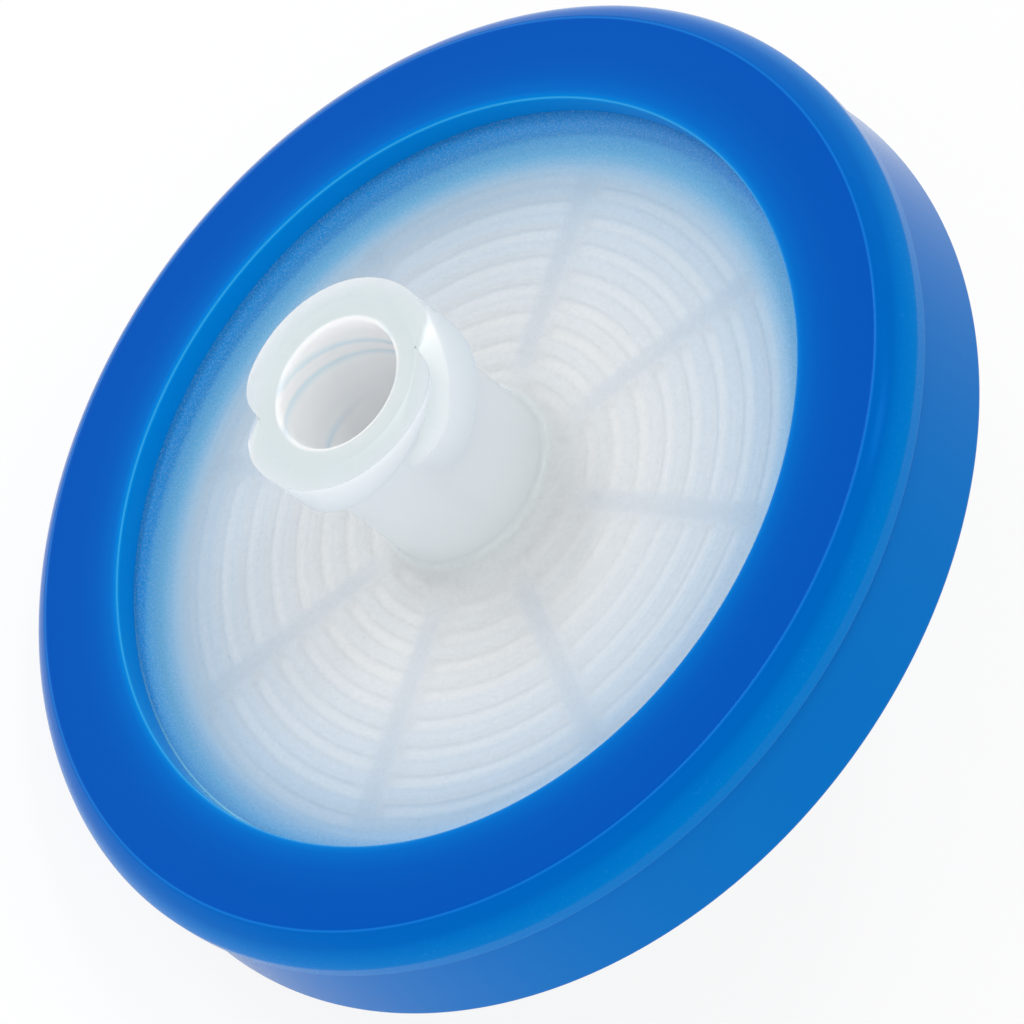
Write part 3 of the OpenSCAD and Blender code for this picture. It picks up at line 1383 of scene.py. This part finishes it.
@dataclass(frozen=True)
class Collar:
    """The blue collar that is moulded over both housings' flanges.

    Attributes:
        radius: Edge of the flange, in millimetres.
        window: Radius of the window.
        face: Outer radius of the flat front face.
        bevel: Drop from the face to the flange's edge.
        bevel_turn: Angle that the rounded bevel turns through, in degrees.
        bevel_steps: Steps across the bevel.
        flange_edge: Height of the flange's edge.
        waist: Radius of the waist behind the flange.
        back: Outer radius at the back face.
        grip: Radius of the groove round the housings' flanges.
        crease: Rounding of the crease between face and bevel.
        soft: Rounding of the small edges.
        fine: Rounding of the flange's lower edge.
    """

    radius: float = 16.5
    window: float = 12.75
    face: float = 15.6
    bevel: float = 0.97
    bevel_turn: float = 44.0
    bevel_steps: int = 14
    flange_edge: float = 0.45
    waist: float = 16.2
    back: float = 16.45
    grip: float = 14.6
    crease: float = 0.5
    soft: float = 0.15
    fine: float = 0.06

    def bevel_points(self) -> list[Vector]:
        """Points of the rounded bevel.

        Returns:
            Radius and height, from the flange's edge up to the front face.
        """
        run = self.radius - self.face
        half = math.radians(self.bevel_turn / 2.0)
        radius = math.hypot(run, self.bevel) / 2.0 / math.sin(half)
        start = math.pi / 2.0 - math.atan2(self.bevel, run) + half
        centre = Vector((self.face, 0.0)) - radius * Vector((math.cos(start), math.sin(start)))
        steps = self.bevel_steps
        angles = [start - 2.0 * half * (steps - k) / steps for k in range(steps + 1)]
        return [centre + radius * Vector((math.cos(a), math.sin(a))) for a in angles]

    def build(self, finish: BluePolypropylene) -> bpy.types.Object:
        """Builds the collar.

        Args:
            finish: Its finish.

        Returns:
            The piece.
        """
        edge_low = -self.bevel - self.flange_edge
        corners = [
            Corner(self.face, 0.0, self.crease),
            Corner(self.window, 0.0, self.soft),
            Corner(self.window, LEVELS.flange_front),
            Corner(self.grip, LEVELS.flange_front),
            Corner(self.grip, LEVELS.flange_back),
            Corner(self.window, LEVELS.flange_back),
            Corner(self.window, LEVELS.collar_back, self.soft),
            Corner(self.back, LEVELS.collar_back, self.soft),
            Corner(self.waist, edge_low - self.soft, self.soft),
            Corner(self.radius, edge_low, self.fine),
        ]
        corners += [Corner(point.x, point.y) for point in self.bevel_points()[:-1]]
        mesh = turned_mesh("collar_moulding", held_flat(rounded_outline(corners)))
        return finish_piece("collar_moulding", mesh, finish.build(), "collar")


@dataclass(frozen=True)
class Housing:
    """What both housings share: a disc with ribs on its inside, a flange and a luer fitting.

    Attributes:
        disc: Radius of the disc, in millimetres.
        flange: Radius of the flange.
        skirt: Radius at which the inlet's skirt and the outlet's seat meet.
        flow: Radius of the open filter area.
        hub: Outer radius of the fitting where it rises from the disc.
        land: Length of the straight land at the fitting's end.
        soft: Rounding of the fitting's end.
        inner: Rounding of its shoulders.
        ribs: The support ribs.
    """

    disc: float
    flange: float = 14.6
    skirt: float = 12.45
    flow: float = 11.8
    hub: float = 2.97
    land: float = 0.8
    soft: float = 0.15
    inner: float = 0.1
    ribs: SupportRibs = SupportRibs()

    def outline(self) -> list[Vector]:
        """Outline of the housing without its details, as each half draws it."""
        raise NotImplementedError

    def mould(
        self,
        name: str,
        node: str,
        details: dict[SupportRibs | LockLugs, float],
        finish: NaturalPolypropylene,
    ) -> bpy.types.Object:
        """Joins the turned housing with its ribs and lugs.

        Args:
            name: The piece's name.
            node: The CAD node that it stands for.
            details: Its ribs and lugs, each with the height that it is drawn from.
            finish: Its finish.

        Returns:
            The piece.
        """
        material = finish.build()
        shape = joined_tree(f"{node} shape", details)
        mesh = shape.run(turned_mesh(name, self.outline()), material)
        return finish_piece(name, mesh, material, node)


@dataclass(frozen=True)
class InletHousing(Housing):
    """The inlet half: a disc with a female luer-lock inlet, and ribs on its inside.

    Attributes:
        disc: Radius of the disc, in millimetres.
        mouth: Radius of the luer socket's land.
        socket: Depth of the luer socket.
        hole: Radius of the hole to the membrane.
        foot: Rounding where the inlet rises from the disc.
        lip: Rounding of the inlet's outer edge.
        lugs: The lugs on the inlet.
    """

    disc: float = 12.748
    mouth: float = 2.15
    socket: float = 7.3
    hole: float = 1.0
    foot: float = 0.25
    lip: float = 0.08
    lugs: LockLugs = LockLugs()

    def outline(self) -> list[Vector]:
        """Outline of the housing without its ribs and lugs.

        Returns:
            Points of radius and height round the closed outline.
        """
        land_low = LEVELS.rim - self.soft - self.land
        cone_low = LEVELS.rim - self.socket
        cone_end = self.mouth - LUER_SLOPE * (land_low - cone_low)
        corners = [
            Corner(self.hole, LEVELS.inlet_floor),
            Corner(self.flow, LEVELS.inlet_floor),
            Corner(self.flow, LEVELS.membrane_front),
            Corner(self.skirt, LEVELS.membrane_front),
            Corner(self.skirt, LEVELS.split),
            Corner(self.flange, LEVELS.split),
            Corner(self.flange, LEVELS.flange_front),
            Corner(self.disc, LEVELS.flange_front),
            Corner(self.disc, LEVELS.inlet_disc),
            Corner(self.hub, LEVELS.inlet_disc, self.foot),
            Corner(self.hub, LEVELS.rim, self.lip),
            Corner(self.mouth, LEVELS.rim, self.soft),
            Corner(self.mouth, land_low),
            Corner(cone_end, cone_low, self.inner),
            Corner(self.hole, cone_low, self.inner),
        ]
        return held_flat(rounded_outline(corners))

    def build(self, finish: NaturalPolypropylene) -> bpy.types.Object:
        """Builds the housing, with its ribs hanging under the disc.

        Args:
            finish: Its finish.

        Returns:
            The piece.
        """
        rib_level = LEVELS.inlet_floor + (self.ribs.root - self.ribs.height) / 2.0
        details = {self.ribs: rib_level, self.lugs: LEVELS.rim}
        return self.mould("inlet_moulding", "inlet_housing", details, finish)


@dataclass(frozen=True)
class Membrane:
    """The filter membrane, clamped between the housings.

    Attributes:
        radius: Radius of the film, in millimetres.
        gap: Air left between the film and what touches it.
        rings: Rings of faces from its middle to its edge.
    """

    radius: float = 12.4
    gap: float = 0.01
    rings: int = 24

    def build(self, finish: MembraneFilm) -> bpy.types.Object:
        """Builds the membrane.

        Args:
            finish: Its finish.

        Returns:
            The piece.
        """
        radii = [self.radius * k / self.rings for k in range(self.rings + 1)]
        back = [Vector((r, LEVELS.membrane_back + self.gap)) for r in radii]
        front = [Vector((r, LEVELS.membrane_front - self.gap)) for r in reversed(radii)]
        mesh = turned_mesh("membrane_film", back + front)
        return finish_piece("membrane_film", mesh, finish.build(), "membrane")


@dataclass(frozen=True)
class OutletHousing(Housing):
    """The outlet half: a ribbed disc with a male luer-slip outlet.

    Attributes:
        disc: Radius of the disc, in millimetres.
        tip: Radius of the outlet's tip.
        passage: Radius of the passage.
        foot: Rounding where the root rises from the disc.
        mouth: Rounding of the passage's end.
        fine: Rounding of the disc's edge.
    """

    disc: float = 12.74
    tip: float = 1.98
    passage: float = 1.05
    foot: float = 0.3
    mouth: float = 0.05
    fine: float = 0.06

    def outline(self) -> list[Vector]:
        """Outline of the housing without its ribs.

        Returns:
            Points of radius and height round the closed outline.
        """
        land_top = LEVELS.tip + self.land
        cone_root = self.tip + LUER_SLOPE * (LEVELS.cone_root - land_top)
        corners = [
            Corner(self.flow, LEVELS.outlet_floor),
            Corner(self.passage, LEVELS.outlet_floor, self.inner),
            Corner(self.passage, LEVELS.tip, self.mouth),
            Corner(self.tip, LEVELS.tip, self.soft),
            Corner(self.tip, land_top),
            Corner(cone_root, LEVELS.cone_root, self.inner),
            Corner(self.hub, LEVELS.cone_root, self.inner),
            Corner(self.hub, LEVELS.outlet_disc, self.foot),
            Corner(self.disc, LEVELS.outlet_disc, self.fine),
            Corner(self.disc, LEVELS.flange_back),
            Corner(self.flange, LEVELS.flange_back),
            Corner(self.flange, LEVELS.split),
            Corner(self.skirt, LEVELS.split),
            Corner(self.skirt, LEVELS.membrane_back),
            Corner(self.flow, LEVELS.membrane_back),
        ]
        return held_flat(rounded_outline(corners[::-1]))

    def build(self, finish: NaturalPolypropylene) -> bpy.types.Object:
        """Builds the housing, with its ribs standing on the disc."""
        rib_level = LEVELS.outlet_floor + (self.ribs.height - self.ribs.root) / 2.0
        return self.mould("outlet_moulding", "outlet_housing", {self.ribs: rib_level}, finish)


# ---- The studio ----


@dataclass(frozen=True)
class SoftBox:
    """A flat area lamp that faces the filter.

    Attributes:
        label: The lamp's name.
        azimuth: Direction round the filter, in degrees; 0 is towards -Y and 90 towards +X.
        elevation: Height above the horizon, in degrees.
        distance: Distance from the filter, in metres.
        width: Width, in metres.
        height: Height, in metres.
        power: Power in watts.
    """

    label: str
    azimuth: float
    elevation: float
    distance: float
    width: float
    height: float
    power: float

    def hang(self, aim: Vector) -> None:
        """Hangs the lamp.

        Args:
            aim: The point that it faces.
        """
        a, e = math.radians(self.azimuth), math.radians(self.elevation)
        away = Vector((math.sin(a) * math.cos(e), -math.cos(a) * math.cos(e), math.sin(e)))
        lamp = bpy.data.lights.new(self.label, "AREA")
        lamp.shape = "RECTANGLE"
        lamp.size = self.width
        lamp.size_y = self.height
        lamp.energy = self.power
        holder = bpy.data.objects.new(self.label, lamp)
        holder.location = aim + away * self.distance
        holder.rotation_euler = away.to_track_quat("Z", "Y").to_euler()
        bpy.context.scene.collection.objects.link(holder)


@dataclass(frozen=True)
class Studio:
    """A plain white table, soft lamps and the camera.

    Attributes:
        elevation: The camera's height above the horizon, in degrees.
        distance: The camera's distance from the collar's front face, in metres.
        aside: How far the camera stands right of the face's centre, in metres.
        above: How far the camera's line stands above the centre, in metres.
        lens: Focal length, in millimetres.
        sensor: Width of the camera's sensor, in millimetres.
        clip: Nearest and furthest distance that the camera sees, in metres.
        table: Length of the table's side, in metres.
        card: Colour of the table's card.
        seen_white: Share of plain white in the table as the camera sees it; the rest is card
            that takes the shadow.
        mirrored_white: The same as glossy surfaces mirror it.
        white: Colour of plain white and of the sky.
        sky: Strength of the sky.
        boxes: The soft lamps: a key from behind on the right, a narrow strip on the left and a
            wide fill from in front.
    """

    elevation: float = 60.2
    distance: float = 0.2513
    aside: float = 0.0020
    above: float = -0.00146
    lens: float = 284.4
    sensor: float = 36.0
    clip: tuple[float, float] = (0.01, 10.0)
    table: float = 3.0
    card: str = "#f4f4f4"
    seen_white: float = 0.85
    mirrored_white: float = 0.16
    white: str = "#ffffff"
    sky: float = 0.84
    boxes: tuple[SoftBox, ...] = (
        SoftBox("key", 150.0, 73.0, distance=0.6, width=0.11, height=0.11, power=0.5),
        SoftBox("strip", -117.0, 40.0, distance=0.7, width=0.34, height=0.05, power=1.0),
        SoftBox("fill", -20.0, 30.0, distance=0.7, width=0.4, height=0.4, power=0.6),
    )

    def set_camera(self) -> None:
        """Sets the camera level, at azimuth 0."""
        e = math.radians(self.elevation)
        back = Vector((0.0, -math.cos(e), math.sin(e)))
        up = Vector((0.0, math.sin(e), math.cos(e)))
        right = Vector((1.0, 0.0, 0.0))
        data = bpy.data.cameras.new("camera")
        data.lens = self.lens
        data.sensor_width = self.sensor
        data.clip_start, data.clip_end = self.clip
        camera = bpy.data.objects.new("camera", data)
        camera.location = (
            AXIS.face_centre() + back * self.distance + right * self.aside + up * self.above
        )
        camera.rotation_euler = back.to_track_quat("Z", "Y").to_euler()
        bpy.context.scene.collection.objects.link(camera)
        bpy.context.scene.camera = camera

    def lay_table(self) -> None:
        """Lays the white table that the filter rests on."""
        half = self.table / 2.0
        mesh = bpy.data.meshes.new("table")
        corners = [(-half, -half, 0.0), (half, -half, 0.0), (half, half, 0.0), (-half, half, 0.0)]
        mesh.from_pydata(corners, [], [(0, 1, 2, 3)])
        mesh.materials.append(self.table_finish())
        table = bpy.data.objects.new("table", mesh)
        bpy.context.scene.collection.objects.link(table)

    def table_finish(self) -> bpy.types.Material:
        """Makes white card that shows as white and keeps the filter's shadow.

        Returns:
            The finished material.
        """
        material = bpy.data.materials.new("White card")
        material.use_nodes = True
        nodes = Nodes(material.node_tree)
        nodes.tree.nodes.clear()
        path = nodes.add("ShaderNodeLightPath").node.outputs
        mirrored = nodes.add(MATH, (path["Is Glossy Ray"], path["Is Transmission Ray"]), **MOST)
        share = nodes.add(
            MATH,
            (
                nodes.product(path["Is Camera Ray"], self.seen_white),
                nodes.product(mirrored, self.mirrored_white),
            ),
            **MOST,
        )
        card = nodes.add("ShaderNodeBsdfDiffuse", {"Color": self.card})
        glow = nodes.add("ShaderNodeEmission", {"Color": self.white})
        mixed = nodes.add("ShaderNodeMixShader", (share, card, glow))
        nodes.add("ShaderNodeOutputMaterial", (mixed,))
        return material

    def light(self) -> None:
        """Lights the table with a pale sky and soft boxes."""
        world = bpy.data.worlds.new("studio")
        world.use_nodes = True
        sky = world.node_tree.nodes["Background"]
        Nodes(world.node_tree).feed(sky, {"Color": self.white, "Strength": self.sky})
        bpy.context.scene.world = world
        for box in self.boxes:
            box.hang(AXIS.face_centre())

    def build(self) -> None:
        """Sets up the whole studio."""
        bpy.context.scene.view_settings.view_transform = "Standard"
        self.lay_table()
        self.light()
        self.set_camera()


def main() -> None:
    """Builds the filter's pieces in order, then the studio."""
    logging.basicConfig(level=logging.INFO, format="%(name)s: %(message)s")
    natural = NaturalPolypropylene()
    Collar().build(BluePolypropylene())
    InletHousing().build(natural)
    Membrane().build(MembraneFilm())
    OutletHousing().build(natural)
    Studio().build()


if __name__ == "__main__":
    main()
